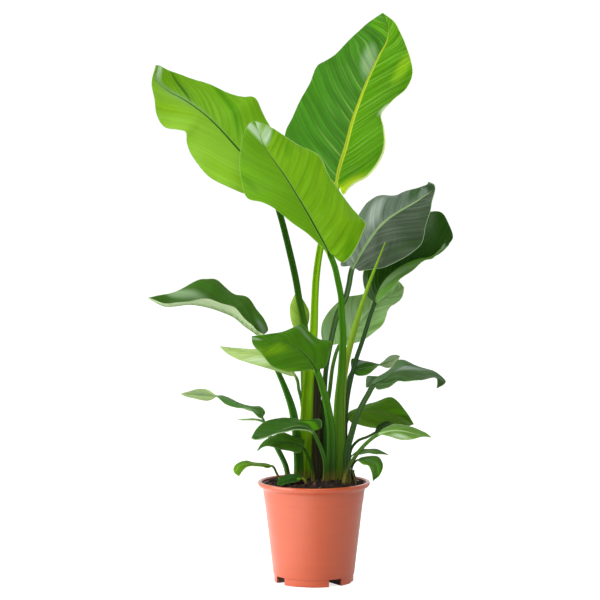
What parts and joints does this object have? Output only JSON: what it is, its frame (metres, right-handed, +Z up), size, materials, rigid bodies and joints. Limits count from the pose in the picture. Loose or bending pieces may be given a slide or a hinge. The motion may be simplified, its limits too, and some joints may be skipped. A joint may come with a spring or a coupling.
{
  "type": "potted plant",
  "caption": "Young bird of paradise with broad long-stalked leaves in a round plastic nursery pot.",
  "frame": {"origin": "centre of the pot's base, on the surface that it stands on", "axes": "+Z up, +X to the right seen from the front, +Y away from the viewer"},
  "size_m": [0.4632, 0.249, 0.8686],
  "materials": {
    "terracotta_plastic": "satin moulded polypropylene",
    "peat": "loose fibrous peat, matt",
    "leaf_bright": "glossy young leaf",
    "leaf_mid": "glossy leaf",
    "leaf_dark": "glossy old leaf",
    "leaf_pale": "matt pale underside",
    "leaf_young": "satin new growth",
    "dried_leaf": "dry papery sheath"
  },
  "bodies": {
    "root": {"pot": "terracotta_plastic", "soil": "peat", "leaf_top_left": "leaf_bright", "leaf_front_large": "leaf_bright", "leaf_top_right": "leaf_mid", "leaf_front_middle": "leaf_mid", "leaf_left_arching": "leaf_mid", "leaf_left_twisted": "leaf_mid", "leaf_front_low": "leaf_mid", "leaf_right_upper": "leaf_mid", "leaf_right_broad": "leaf_mid", "leaf_right_low": "leaf_mid", "leaf_right_small": "leaf_mid", "leaf_over_rim": "leaf_mid", "leaf_grey_green": "leaf_dark", "leaf_dark_rear": "leaf_dark", "leaf_front_dark": "leaf_dark", "leaf_on_soil": "leaf_dark", "leaf_right_arching": "leaf_dark", "leaf_right_short": "leaf_dark", "leaf_left_pale": "leaf_pale", "leaf_left_thin": "leaf_pale", "leaf_rear_broad": "leaf_pale", "leaf_rear_yellow": "leaf_young", "leaf_rolled_spear": "leaf_young", "leaf_bottom_left": "leaf_young", "dried_sheath": "dried_leaf"}
  },
  "joints": []
}
